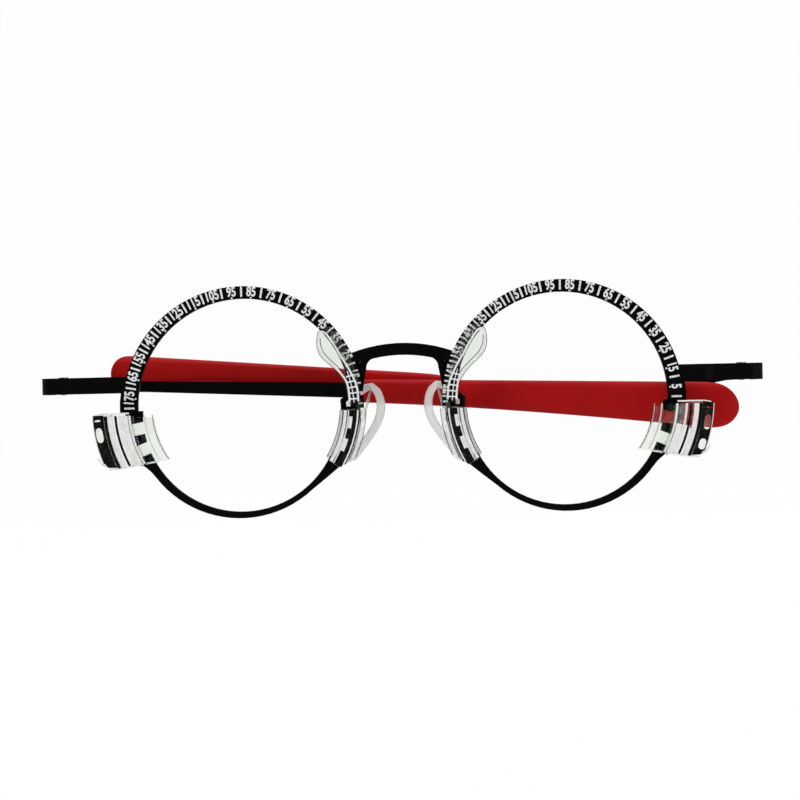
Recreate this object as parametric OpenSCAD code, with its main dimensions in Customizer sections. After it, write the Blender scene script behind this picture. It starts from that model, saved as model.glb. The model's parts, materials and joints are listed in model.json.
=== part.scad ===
// Lightweight trial frame with fixed lens centres, for test lenses of 38 mm.
// X runs across the front, Z is up, and the front faces -Y. The temples are folded behind it.
// Right and left are the wearer's, so the right side lies at -X.

/* [Front plate] */
// Distance between the two lens centres
lens_pd = 54; // [53:0.5:60]
// Thickness of the metal front
plate_t = 1.0; // [0.8:0.1:1.4]
// How far the scale band's outer edge lies outside a test lens
band_over = 1.15; // [0.8:0.05:1.6]
// How far the scale band's inner edge lies inside a test lens
band_under = 1.3; // [1:0.05:1.8]
// How far the thin lower rim's outer edge lies inside a test lens
rim_under = 1.27; // [0.9:0.01:1.5]
// Radial width of the thin lower rim
rim_w = 1.28; // [1:0.02:1.5]
// Height of the bridge's crown above the lens centres
bridge_rise = 10.1; // [9:0.1:11.5]
// Width of the bridge strip, seen from the front
bridge_w = 2.0; // [1.6:0.1:2.6]

/* [End pieces] */
// Overall width of the front
front_w = 121.0; // [118:0.2:130]
// Height of the strips that run out to the hinges
strip_h = 2.75; // [2.2:0.05:3.2]
// Height of the strips above the lens centres
strip_rise = 4.1; // [3:0.1:5]
// Step back of the strips beside the rings
joggle = 0.8; // [0.4:0.1:1.2]
// Outer radius of the bend at each end
bend_r = 2.4; // [1.8:0.1:3]
// Distance of the hinge axes behind the front face
hinge_back = 12.9; // [12.5:0.1:15]

/* [Lens cells] */
// Diameter of a test lens
lens_d = 38; // [37.6:0.1:38.4]
// Radial play of a test lens in its cell
lens_play = 0.1; // [0.05:0.05:0.3]
// Number of test lenses that fit one behind the other
cells = 3; // [2:1:4]
// Width of one cell
cell_w = 2.0; // [1.6:0.1:2.4]
// Thickness of the ribs between the cells
rib_t = 0.5; // [0.4:0.05:0.8]
// How far the ribs reach over the lens
rib_grip = 1.2; // [0.8:0.1:1.6]
// Thickness of the clear flanges on the metal front
flange_t = 0.6; // [0.5:0.1:1]
// Radial thickness of the temporal holder's grooved wall
temporal_wall = 2.9; // [2.6:0.1:3.4]
// Radial width of the temporal holder's outer wing
wing_w = 2.6; // [2:0.1:3]
// Radial thickness of the nasal holder's grooved wall
nasal_wall = 1.9; // [1.6:0.1:2.2]
// Height of the temporal holders at the wing
temporal_h = 9.2; // [8.4:0.1:9.6]
// Height of the nasal holders
nasal_h = 9.4; // [8.6:0.1:10]

/* [Lens springs] */
// Thickness of the spring finger's flexible web
finger_t = 0.8; // [0.6:0.05:1]
// Angle above the lens centre at which the finger's leaf ends
finger_top = 42; // [38:0.5:45]
// How far the leaf at the finger's end widens over the lens
leaf_reach = 2.1; // [1.6:0.1:2.8]
// Number of grip ridges on the finger
ridges = 7; // [4:1:9]

/* [Nose pads] */
// Length of a nose pad
pad_l = 13.6; // [12:0.1:14]
// Width of a nose pad
pad_w = 7.8; // [7:0.1:8]
// Thickness of a nose pad
pad_t = 1.7; // [1.4:0.1:2]
// Distance of each pad's centre from the middle of the nose
pad_out = 7.2; // [7:0.1:7.8]
// Turn of the pads that opens them to the rear
pad_splay = 44; // [38:1:48]
// Lean of the pads that opens them downwards
pad_lean = 16; // [12:1:18]
// Diameter of the pad wire
wire_d = 1.0; // [0.8:0.05:1.3]

/* [Temples] */
// Thickness of the metal temple bar
arm_t = 1.0; // [0.8:0.05:1.2]
// Height of the bar behind the hinge
arm_h_hinge = 1.6; // [1.3:0.05:1.9]
// Height of the bar where the sleeve starts
arm_h_sleeve = 2.65; // [2.2:0.05:3]
// Height of the left bar where its lower sleeve starts
left_arm_h_sleeve = 2.2; // [1.9:0.05:2.4]
// Length of bar inside the soft sleeve
core_l = 30; // [10:1:40]
// Thickness of the soft sleeve at its open end
sleeve_t = 2.4; // [2.1:0.05:2.6]
// Thickness of the soft sleeve at its paddle
paddle_t = 2.6; // [2.3:0.05:2.9]
// Gap in width between the right temple's tip and the far hinge axis
right_short = 1.3; // [1.3:0.1:4]
// Gap in width between the left temple's tip and the far hinge axis
left_short = 7.6; // [7.6:0.1:12]
// Height of the right paddle
right_paddle_h = 8.3; // [6:0.1:8.6]

/* [Hinges] */
// Diameter of the hinge barrels
barrel_d = 2.0; // [1.9:0.05:2.3]
// Diameter of the hinge screws
screw_d = 1.0; // [0.8:0.05:1.1]
// Height of each hinge
hinge_h = 2.6; // [2.4:0.1:3]
// Thickness of the hinge leaves
leaf_t = 0.5; // [0.4:0.05:0.6]

/* [Fits] */
// Radial clearance round a turning screw
turn_fit = 0.04; // [0.02:0.01:0.08]
// Clearance between pieces that snap or slide together
snug_fit = 0.05; // [0.02:0.01:0.1]
// Clearance beside a turning knuckle or tab
side_fit = 0.1; // [0.05:0.01:0.15]

/* [Hidden] */

$fn = 96;
right = -1;
left = 1;
far = 60;
metal_black = "#17181a";
clear_plastic = [0.88, 0.93, 0.95, 0.55];
soft_red = "#b01a18";
screw_steel = "#8d8f92";

// Circles of the front, measured from a lens centre, +u towards the temple
lens_r = lens_d / 2;
band_shift = [-0.33, 0];
band_out_r = lens_r + band_over;
band_in_shift = [-0.53, 0.35];
band_in_r = lens_r - band_under;
rim_shift = [0.25, -0.82];
rim_out_r = lens_r - rim_under;
rim_in_shift = [0, -1];
rim_in_r = rim_out_r - rim_w;
band_foot = -0.6;
seat_top = -1.0;

// Lens cells
seat_r = lens_r + lens_play;
rib_r = lens_r - rib_grip;
cell_pitch = cell_w + rib_t;
front_y = -(flange_t + cells * cell_pitch);
rear_flange_y = plate_t + flange_t;
groove_w = 0.4;
groove_depth = 3.2;
clip_back_r = seat_r + 1.6;
wing_depth = 2.6;
nasal_bridge = 1.6;

// Holder outlines, from the radius of the cells' floor: [radial place, height]
temporal_top = -0.75;
temporal_plate = [seat_r - 2.8, seat_r + 0.3];
temporal_lip_r = seat_r - 4.3;
temporal_block = [
  [seat_r - 5.6, temporal_top - 0.8], [seat_r + 4, temporal_top + 0.15],
  [seat_r + 5.1, temporal_top - 0.15], [seat_r + 5.6, temporal_top - 1.4],
  [seat_r + 4.7, temporal_top - temporal_h + 2], [seat_r + 4, temporal_top - temporal_h + 0.9],
  [seat_r + 2.9, temporal_top - temporal_h + 0.3], [seat_r + 1, temporal_top - temporal_h + 0.15],
  [seat_r - 7, temporal_top - temporal_h + 1.5],
];
temporal_notches = [-10.8, -22.4];
temporal_notch_r = seat_r - 0.35;
nasal_top = -0.7;
nasal_plate = [seat_r - 1.7, seat_r + 0.8];
nasal_lip_r = seat_r - 2.6;
nasal_block = [
  [seat_r - 4, nasal_top], [seat_r + 3, nasal_top], [seat_r + 2.6, nasal_top - nasal_h * 0.68],
  [seat_r - 0.9, nasal_top - nasal_h + 0.7], [seat_r - 2.8, nasal_top - nasal_h],
  [seat_r - 4.9, nasal_top - nasal_h + 1.2], [seat_r - 6, nasal_top - nasal_h / 2],
];
nasal_notches = [-9.5, -20.5];
nasal_notch_r = seat_r - 0.75;
notch_w = 2.0;
notch_cut = 0.45;

// Spring fingers, angles up from the horizontal on the nasal side
finger_foot = 0.6;
finger_r = seat_r + 0.2;
knuckle_r = finger_t / 2 + 0.1;
knuckle_turn = -3.6;
leaf_foot = 10;
leaf_rim = 0.45;
leaf_bead = 0.25;

// End pieces and hinges
end_x = front_w / 2;
ret_in_x = end_x - plate_t;
leaf_bite = 0.3;
hinge_x = ret_in_x - leaf_t - barrel_d / 2 + leaf_bite;
hinge_z = strip_rise;
ret_gap = 1.3;
knuckle_h = (hinge_h - side_fit * 2) / 3;
arm_off = ret_in_x - hinge_x + 0.1 + arm_t / 2;
arm_start = -1.0;
leaf_l = 4.4;

// Temples, heights measured from the strips' centre line
right_reach = hinge_x * 2 - right_short;
left_reach = hinge_x * 2 - left_short;
right_lay = 3;
left_lay = 1.2;
right_sleeve_at = right_reach * 0.426;
left_sleeve_at = left_reach * 0.472;
right_arm = [
  [arm_start, -0.1, arm_h_hinge], [14, -0.25, arm_h_hinge * 1.15],
  [right_sleeve_at, -1.62, arm_h_sleeve],
];
left_arm = [
  [arm_start, -0.45, arm_h_hinge], [2.5, -0.6, arm_h_hinge], [13, -2.45, arm_h_hinge],
  [left_sleeve_at, -1.5, left_arm_h_sleeve],
];
right_sleeve_top = [0.25, -1.77];
left_sleeve_top = [0.78, 5.5];
left_sleeve_low = [-3.2, 0.7];
left_low_knee = 0.73;
left_paddle_h = left_sleeve_top[1] - left_sleeve_low[1];
sleeve_h = 4.0;
sleeve_rings = 18;
ring_points = 20;
tip_share = 0.45;

// Nose pads
pad_mid = [pad_out, 5.9, -2.9];
pad_rings = 15;
pad_points = 24;
pad_drop = 1.4;
pad_tab_t = 0.8;
pad_hole_x = pad_t / 2 + 1.05;
box_wall = 0.4;
box_half_h = 1.15;
box_back_x = pad_hole_x + 0.95;
wire_root = [lens_pd / 2 - band_out_r + 0.25, plate_t, 3.4];
wire_bend = [10.0, 2.5, 0.6];
wire_bead = 1.12;
wire_foot = [wire_d * 1.3, wire_d * 0.9];

// The origin is under the middle of the whole object
bottom_z = rim_shift[1] - rim_out_r;
tip_x = left_reach - left_paddle_h * tip_share;
back_y = hinge_back + arm_off + tip_x * sin(left_lay) + paddle_t / 2;
origin_y = (front_y - leaf_bead + back_y) / 2;

function polar(r, a) = [r * cos(a), r * sin(a)];
function mix(a, b, t) = a + (b - a) * t;

module place() {
  translate([0, -origin_y, -bottom_z]) children();
}

// The pieces of one eye are drawn round its lens centre, with +X towards the temple
module eye(s) {
  place() scale_x(s) translate([lens_pd / 2, 0, 0]) children();
}

module scale_x(s) {
  if (s < 0) mirror([1, 0, 0]) children();
  else children();
}

// A flat outline in X and Z, given depth from y0 to y1
module slab(y0, y1) {
  translate([0, y1, 0]) rotate([90, 0, 0]) linear_extrude(y1 - y0) children();
}

module wedge(a0, a1) {
  polygon(concat([[0, 0]], [for (i = [0:4]) polar(far, mix(a0, a1, i / 4))]));
}

module sector(r0, r1, a0, a1) {
  intersection() {
    difference() {
      circle(r1);
      circle(r0);
    }
    wedge(a0, a1);
  }
}

// Metal front
module band() {
  intersection() {
    difference() {
      translate(band_shift) circle(band_out_r);
      translate(band_in_shift) circle(band_in_r);
    }
    translate([-far / 2, band_foot]) square([far, far]);
  }
  polygon([
    [lens_r - 0.5, band_foot], [lens_r + 1.2, band_foot], [lens_r + 1.2, 1.2], [lens_r + 0.95, 3.2],
    band_shift + polar(band_out_r - 0.3, 19), [lens_r - 1, 5],
  ]);
}

module rim() {
  intersection() {
    difference() {
      translate(rim_shift) circle(rim_out_r);
      translate(rim_in_shift) circle(rim_in_r);
    }
    wedge(-180 + 30, -28);
  }
}

// The plate under a holder, inside the lens rim line, with its tapered run into the rim
module seat_plate(plate, top, low, turn, shift) {
  intersection() {
    difference() {
      circle(plate[1]);
      translate(rim_in_shift) circle(plate[0] + 0.1);
    }
    wedge(low, top);
  }
  run_out = shift + polar(rim_out_r - 0.02, low - turn);
  polygon([
    polar(mix(plate[0], plate[1], 0.4), low + 3), polar(plate[1] - 0.12, low + 2),
    polar(mix(plate[1], rim_out_r + 0.6, 0.85), low - turn / 2.4), run_out,
    rim_in_shift + polar(rim_in_r + 0.3, low - turn), rim_in_shift + polar(rim_in_r + 0.3, low - turn / 2),
    rim_in_shift + polar(rim_in_r + 0.15, low),
  ]);
}

module notches(turns, end_r, clear = 0) {
  w = notch_w / 2 - clear;
  for (t = turns) rotate(t) polygon([
    [end_r - 4, -w], [end_r - notch_cut, -w], [end_r - clear, notch_cut - w],
    [end_r - clear, w - notch_cut], [end_r - notch_cut, w], [end_r - 4, w],
  ]);
}

module eye_outline() {
  band();
  rim();
  difference() {
    seat_plate(temporal_plate, seat_top, -29.5, 12, rim_shift);
    notches(temporal_notches, temporal_notch_r);
  }
  mirror([1, 0]) difference() {
    seat_plate(nasal_plate, seat_top, -30, 24, [-rim_shift[0], rim_shift[1]]);
    notches(nasal_notches, nasal_notch_r);
  }
}

// Bridge and the two legs that run down from it onto the rings
ring_gap = lens_pd / 2 - band_out_r;
leg_in = ring_gap - 0.85;
leg_foot = [ring_gap - 0.15, 2.2];
leg_w = 0.95;
web_t = 0.45;
fillet_r = 1.7;
crown_r = 24.7;

module bridge() {
  joint_x = ring_gap + 2.4;
  low_r = crown_r - bridge_w;
  mid_z = bridge_rise - crown_r;
  difference() {
    intersection() {
      translate([0, mid_z]) circle(crown_r);
      translate([-joint_x, 0]) square([joint_x * 2, far]);
    }
    translate([0, mid_z]) circle(low_r);
  }
  for (s = [right, left]) scale([s, 1]) leg(mid_z, low_r);
}

module leg(mid_z, low_r) {
  inner_z = mid_z + sqrt(pow(low_r, 2) - pow(leg_in - fillet_r, 2));
  polygon([
    [leg_in, inner_z - fillet_r], [leg_in, inner_z + 0.3], [leg_in + leg_w, inner_z + 0.3],
    [leg_in + leg_w + 0.15, inner_z - 3.2], [leg_foot[0] + leg_w, leg_foot[1]], leg_foot,
  ]);
  difference() {
    translate([leg_in - fillet_r + 0.3, inner_z - fillet_r]) square([fillet_r - 0.25, fillet_r + 0.3]);
    translate([leg_in - fillet_r, inner_z - fillet_r]) circle(fillet_r, $fn = 64);
  }
}

module end_strip() {
  root_x = lens_pd / 2 + band_in_r + 0.5;
  step_x = lens_pd / 2 + band_out_r + 3.4;
  step_l = 1.3;
  bend_x = end_x - bend_r;
  translate([0, 0, strip_rise]) linear_extrude(strip_h, center = true) {
    polygon([
      [root_x, 0], [step_x, 0], [step_x + step_l, joggle], [bend_x, joggle],
      [bend_x, joggle + plate_t], [step_x + step_l - 0.2, joggle + plate_t],
      [step_x - 0.2, plate_t], [root_x, plate_t],
    ]);
    translate([bend_x, joggle + bend_r]) intersection() {
      difference() {
        circle(bend_r);
        circle(bend_r - plate_t);
      }
      translate([0, -far]) square(far);
    }
    translate([ret_in_x, joggle + bend_r]) square([plate_t, hinge_back - ret_gap - joggle - bend_r]);
  }
}

// The thin web that fills the corner between a leg and its ring, set back from the face
module web(s) {
  low_r = crown_r - bridge_w;
  top_z = bridge_rise - crown_r + sqrt(pow(low_r, 2) - pow(leg_in + 2, 2));
  slab(plate_t - web_t, plate_t) scale([s, 1])
    polygon([[leg_in + 0.5, top_z + 0.3], [leg_in + 2.6, top_z + 0.3], [leg_in + 1.6, top_z - 3.4]]);
}

module front_frame() {
  color(metal_black) place() {
    slab(0, plate_t) {
      for (s = [right, left]) scale([s, 1]) translate([lens_pd / 2, 0]) eye_outline();
      bridge();
    }
    for (s = [right, left]) {
      web(s);
      scale_x(s) end_strip();
    }
  }
}

// Clear lens holders, each drawn as if its lens lay on the -X side
module in_block(block, r0, r1) {
  intersection() {
    difference() {
      circle(r1);
      circle(r0);
    }
    polygon(block);
  }
}

module ribs(block) {
  for (i = [1:cells]) {
    y = -flange_t - i * cell_pitch;
    slab(y, y + rib_t) in_block(block, rib_r, seat_r + 0.1);
  }
}

// The parts of a holder that close round the metal plate, with tabs through its notches
module clip(block, plate, lip_r, turns, notch_r, low) {
  slab(plate_t, rear_flange_y) in_block(block, lip_r, clip_back_r);
  slab(-flange_t, rear_flange_y) difference() {
    in_block(block, lip_r, clip_back_r);
    difference() {
      circle(plate[1] + snug_fit);
      translate(rim_in_shift) circle(plate[0] + 0.1 - snug_fit);
      notches(turns, notch_r, snug_fit);
    }
    seat_room(plate, low);
  }
}

// Room round the plate's lower run, where it leaves the holder at the angle low
module seat_room(plate, low) {
  intersection() {
    difference() {
      circle(plate[1] + 1.2);
      translate(rim_in_shift) circle(rim_in_r - snug_fit * 2);
    }
    wedge(low - 20, low + 1);
  }
}

module temporal_holder(s) {
  wall_r = seat_r + temporal_wall;
  mid_r = mix(seat_r, wall_r, 0.5);
  color(clear_plastic) eye(s) {
    clip(temporal_block, temporal_plate, temporal_lip_r, temporal_notches, temporal_notch_r, -28);
    slab(-flange_t, 0) in_block(temporal_block, temporal_lip_r, wall_r + wing_w);
    slab(-wing_depth, 0) in_block(temporal_block, wall_r - groove_w, wall_r + wing_w);
    slab(front_y, -flange_t / 2) difference() {
      in_block(temporal_block, seat_r, wall_r);
      in_block(temporal_block, mid_r, mid_r + groove_w);
    }
    slab(front_y + groove_depth, -flange_t / 2) in_block(temporal_block, seat_r, wall_r);
    ribs(temporal_block);
  }
}

module nasal_holder(s) {
  wall_r = seat_r + nasal_wall;
  mid_r = mix(seat_r, wall_r, 0.45);
  color(clear_plastic) eye(s) difference() {
    mirror([1, 0, 0]) {
      clip(nasal_block, nasal_plate, nasal_lip_r, nasal_notches, nasal_notch_r, -27);
      slab(-flange_t, 0) in_block(nasal_block, nasal_lip_r, wall_r);
      slab(front_y, -flange_t / 2) difference() {
        in_block(nasal_block, seat_r, wall_r);
        difference() {
          in_block(nasal_block, mid_r, mid_r + groove_w);
          translate([0, nasal_top - nasal_bridge]) square(far);
        }
      }
      slab(front_y + groove_depth, -flange_t / 2) in_block(nasal_block, seat_r, wall_r);
      ribs(nasal_block);
    }
    finger_socket();
  }
}

// The spring finger turns about its foot, in a socket at the top of the nasal holder
knuckle_at = polar(finger_r + finger_t / 2, 180 - knuckle_turn);

module finger_socket() {
  mouth = side_fit + 0.05;
  slab(front_y - 1, -flange_t) {
    translate(knuckle_at) circle(knuckle_r + turn_fit, $fn = 48);
    sector(finger_r - side_fit, finger_r + finger_t + mouth, 178, 180 - knuckle_turn);
  }
}

// Inner edge of the finger's front, which widens into a leaf over the lens
function leaf_edge(a) = rib_r + 0.2 - leaf_reach
  * pow(sin(180 * pow(max(0, a - leaf_foot) / (finger_top - leaf_foot), 1.7)), 0.85);

module leaf(inset, foot) {
  steps = 22;
  top = finger_top - inset * 2;
  out_r = finger_r + finger_t - 0.08 - inset;
  polygon(concat(
    [for (i = [0:steps]) let (a = mix(foot, top - 0.05, i / steps))
      polar(leaf_edge(a) + inset, 180 - a)],
    [for (i = [1:5]) let (a = top - 3.4 * (1 - cos(90 * i / 5)))
      polar(mix(leaf_edge(top - 0.05) + inset, out_r, sin(90 * i / 5)), 180 - a)],
    [for (i = [1:9]) polar(out_r, 180 - mix(top - 3.4, foot, i / 9))]
  ));
}

module lens_spring(s) {
  color(clear_plastic) eye(s) {
    slab(front_y, -flange_t - side_fit) {
      sector(finger_r, finger_r + finger_t, 180 - finger_top + 5, 180 - knuckle_turn);
      translate(knuckle_at) circle(knuckle_r, $fn = 48);
    }
    slab(front_y, front_y + rib_t) leaf(0, finger_foot);
    slab(front_y - leaf_bead, front_y + rib_t / 2) difference() {
      leaf(0.06, finger_foot + 0.4);
      leaf(leaf_rim, finger_foot - 1);
    }
    for (i = [1:ridges]) {
      a = 180 - leaf_foot * 2 * i / ridges;
      slab(front_y, -flange_t - side_fit) sector(finger_r - 0.25, finger_r + 0.1, a - 0.45, a + 0.45);
      slab(front_y - leaf_bead, front_y + 0.1) sector(rib_r + 0.4, finger_r + 0.1, a - 0.4, a + 0.4);
    }
  }
}

// Hinges, drawn round their axis with +X outwards and +Y to the rear
module at_hinge(s) {
  place() scale_x(s) translate([hinge_x, hinge_back, hinge_z]) children();
}

module knuckle(z0, h) {
  translate([0, 0, z0]) cylinder(d = barrel_d, h = h);
}

module end_hinge(s) {
  wall = ret_in_x - hinge_x;
  leaf_y = -ret_gap - 2.6;
  color(metal_black) at_hinge(s) difference() {
    union() {
      translate([wall - leaf_t, leaf_y, -hinge_h / 2]) cube([leaf_t, 2.6, hinge_h]);
      for (z = [-hinge_h / 2, hinge_h / 2 - knuckle_h]) {
        knuckle(z, knuckle_h);
        translate([0.4, -ret_gap - 0.3, z]) cube([wall - 0.7, ret_gap + 0.3, knuckle_h]);
      }
    }
    translate([0, 0, -hinge_h]) cylinder(d = screw_d + snug_fit, h = hinge_h * 2);
  }
}

module hinge_screw(s) {
  color(screw_steel) at_hinge(s) {
    translate([0, 0, -hinge_h / 2 - 0.1]) cylinder(d = screw_d, h = hinge_h + 0.2);
    translate([0, 0, hinge_h / 2]) cylinder(d = screw_d * 1.7, h = 0.35);
  }
}

// A folded temple, drawn round its hinge axis with +X towards its tip and +Y to the rear
module temple(s) {
  place() scale_x(-s) translate([-hinge_x, hinge_back, hinge_z])
    rotate([0, 0, s < 0 ? -right_lay : left_lay]) children();
}

function arm_line(s) = s < 0 ? right_arm : left_arm;
function sleeve_at(s) = s < 0 ? right_sleeve_at : left_sleeve_at;
function reach(s) = s < 0 ? right_reach : left_reach;
function paddle_h(s) = s < 0 ? right_paddle_h : left_paddle_h;
function sleeve_top(s, t) = (s < 0
  ? mix(right_sleeve_top[0], right_sleeve_top[1], t) : mix(left_sleeve_top[0], left_sleeve_top[1], t));
function sleeve_low(s, t) = s < 0
  ? sleeve_top(s, t) - mix(sleeve_h, right_paddle_h, pow(t, 1.5))
  : mix(left_sleeve_low[0], left_sleeve_low[1], min(1, t / left_low_knee));
function sleeve_mid(s, t) = (sleeve_top(s, t) + sleeve_low(s, t)) / 2;

module temple_hinge(s) {
  inner = arm_off - arm_t / 2;
  color(metal_black) temple(s) difference() {
    union() {
      knuckle(-knuckle_h / 2, knuckle_h);
      translate([-0.2, 0, -knuckle_h / 2]) cube([2.2, inner, knuckle_h]);
      translate([1.1, inner - leaf_t, -hinge_h / 2]) cube([leaf_l, leaf_t, hinge_h]);
    }
    translate([0, 0, -hinge_h]) cylinder(d = screw_d + turn_fit * 2, h = hinge_h * 2);
  }
}

// The bar's side view, from its butt to the end of its core
module arm_outline(s, grow = 0) {
  line = arm_line(s);
  last = line[len(line) - 1];
  end_x = last[0] + core_l;
  neck_x = last[0] + 4;
  neck_z = mix(last[1], sleeve_mid(s, 4 / (reach(s) - last[0])), 0.5);
  end_z = sleeve_mid(s, core_l / (reach(s) - last[0]));
  core_h = 0.7;
  stops = concat(line, [[neck_x, neck_z, last[2] * 0.75], [end_x + grow, end_z, core_h * 2]]);
  n = len(stops);
  polygon(concat(
    [for (p = stops) [p[0], p[1] - p[2] / 2 - grow]],
    [for (i = [n - 1:-1:0]) [stops[i][0], stops[i][1] + stops[i][2] / 2 + grow]]
  ));
}

module temple_bar(s) {
  color(metal_black) temple(s)
    slab(arm_off - arm_t / 2, arm_off + arm_t / 2) arm_outline(s);
}

// Soft sleeve: rounded cross-sections from the open end to the paddle's round tip
function sleeve_ring(s, i) =
  let (
    t = 1 - pow(1 - i / (sleeve_rings - 1), 1.5),
    x = mix(sleeve_at(s), reach(s), t),
    tip = paddle_h(s) * tip_share,
    left_over = max(0, 1 - (reach(s) - x) / tip),
    round_end = sqrt(max(0.02, 1 - pow(left_over, 2))),
    first = i == 0 ? 0.92 : 1,
    mid = sleeve_mid(s, t),
    a = (sleeve_top(s, t) - mid) * round_end * first,
    b = mix(sleeve_t, paddle_t, t) / 2 * pow(round_end, 0.6) * first
  )
  [for (k = [0:ring_points - 1])
    let (w = 360 * k / ring_points, c = cos(w), d = sin(w))
    [x, arm_off + b * sign(c) * pow(abs(c), 0.75), mid + a * sign(d) * pow(abs(d), 0.85)]];

// A smooth skin over rings with the same number of points, closed by flat caps
module loft(rings) {
  n = len(rings[0]);
  last = (len(rings) - 1) * n;
  start_cap = [[for (k = [0:n - 1]) k]];
  end_cap = [[for (k = [n - 1:-1:0]) last + k]];
  sides = [for (i = [0:len(rings) - 2], k = [0:n - 1], half = [0, 1])
    let (a = i * n + k, b = i * n + (k + 1) % n)
    half == 0 ? [a, a + n, b + n] : [a, b + n, b]];
  polyhedron([for (ring = rings) each ring], concat(start_cap, sides, end_cap));
}

module temple_sleeve(s) {
  color(soft_red) temple(s) difference() {
    loft([for (i = [0:sleeve_rings - 1]) sleeve_ring(s, i)]);
    slab(arm_off - arm_t / 2 - snug_fit, arm_off + arm_t / 2 + snug_fit) arm_outline(s, snug_fit);
  }
}

// Nose pads, each on a wire with a small screwed box
module pad_place(s) {
  place() scale_x(s) translate(pad_mid) rotate([0, -pad_lean, 0]) rotate([0, 0, -pad_splay]) children();
}

function pad_point(p) =
  let (
    a = -pad_splay, b = -pad_lean,
    q = [p[0] * cos(a) - p[1] * sin(a), p[0] * sin(a) + p[1] * cos(a), p[2]]
  )
  pad_mid + [q[0] * cos(b) + q[2] * sin(b), q[1], q[2] * cos(b) - q[0] * sin(b)];

module rod(p, q) {
  d = q - p;
  len = norm(d);
  translate(p) rotate([0, acos(d[2] / len), atan2(d[1], d[0])]) cylinder(d = wire_d, h = len, $fn = 48);
}

module pad_wire(s) {
  foot = pad_point([box_back_x + box_wall, 0, 0]);
  heel = pad_point([box_back_x + box_wall + wire_d * 0.7, 0, 0]);
  color(metal_black) place() scale_x(s) {
    translate(wire_root) rotate([-90, 0, 0]) cylinder(d = wire_foot[0], h = wire_foot[1], $fn = 48);
    rod(wire_root + [0, wire_foot[1] - 0.1, 0], wire_bend);
    rod(wire_bend, heel);
    rod(heel, foot);
    for (p = [wire_bend, heel]) translate(p) sphere(d = wire_d * wire_bead, $fn = 48);
  }
}

module pad_box(s) {
  cheek_y = pad_tab_t / 2 + side_fit;
  cheek_x = pad_t / 2 + 0.3;
  color(metal_black) pad_place(s) difference() {
    for (y = [cheek_y, -cheek_y - box_wall])
      translate([cheek_x, y, -box_half_h]) cube([box_back_x - cheek_x + 0.01, box_wall, box_half_h * 2]);
    translate([pad_hole_x, 0, 0]) rotate([90, 0, 0]) cylinder(d = screw_d + snug_fit, h = 6, center = true);
  }
  color(metal_black) pad_place(s)
    translate([box_back_x, -cheek_y - box_wall, -box_half_h])
      cube([box_wall, (cheek_y + box_wall) * 2, box_half_h * 2]);
}

module pad_screw(s) {
  half = pad_tab_t / 2 + side_fit + box_wall;
  color(screw_steel) pad_place(s) translate([pad_hole_x, 0, 0]) rotate([90, 0, 0]) {
    cylinder(d = screw_d, h = half * 2, center = true);
    translate([0, 0, half]) cylinder(d = screw_d * 1.6, h = 0.35);
  }
}

// One section across a pad: a drop, widest above its middle, with thin edges
function pad_ring(i) =
  let (
    t = mix(0.003, 0.997, (1 - cos(180 * i / (pad_rings - 1))) / 2),
    w = pow(sin(180 * pow(t, pad_drop)), 0.62),
    b = pad_t / 2 * sqrt(w)
  )
  [for (k = [0:pad_points - 1])
    let (a = 360 * k / pad_points)
    [b * cos(a), pad_w / 2 * w * sin(a), (t - 0.5) * pad_l]];

module nose_pad(s) {
  tab_h = 1.6;
  color(clear_plastic) pad_place(s) {
    loft([for (i = [0:pad_rings - 1]) pad_ring(i)]);
    difference() {
      union() {
        translate([pad_t / 4, -pad_tab_t / 2, -tab_h / 2]) cube([pad_hole_x - pad_t / 4, pad_tab_t, tab_h]);
        translate([pad_hole_x, 0, 0]) rotate([90, 0, 0]) cylinder(d = tab_h, h = pad_tab_t, center = true);
      }
      translate([pad_hole_x, 0, 0]) rotate([90, 0, 0])
        cylinder(d = screw_d + turn_fit * 2, h = pad_tab_t * 3, center = true);
    }
  }
}

front_frame();
temporal_holder(right);  // temporal_holder_right
temporal_holder(left);  // temporal_holder_left
nasal_holder(right);  // nasal_holder_right
nasal_holder(left);  // nasal_holder_left
lens_spring(right);  // lens_spring_right
lens_spring(left);  // lens_spring_left
end_hinge(right);  // end_hinge_right
end_hinge(left);  // end_hinge_left
hinge_screw(right);  // hinge_screw_right
hinge_screw(left);  // hinge_screw_left
temple_hinge(right);  // temple_hinge_right
temple_hinge(left);  // temple_hinge_left
temple_bar(right);  // temple_bar_right
temple_bar(left);  // temple_bar_left
temple_sleeve(right);  // temple_sleeve_right
temple_sleeve(left);  // temple_sleeve_left
pad_wire(right);  // pad_wire_right
pad_wire(left);  // pad_wire_left
pad_box(right);  // pad_box_right
pad_box(left);  // pad_box_left
pad_screw(right);  // pad_screw_right
pad_screw(left);  // pad_screw_left
nose_pad(right);  // nose_pad_right
nose_pad(left);  // nose_pad_left
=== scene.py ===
import json
import math

import bmesh
import bpy
from mathutils import Matrix, Vector


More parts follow.
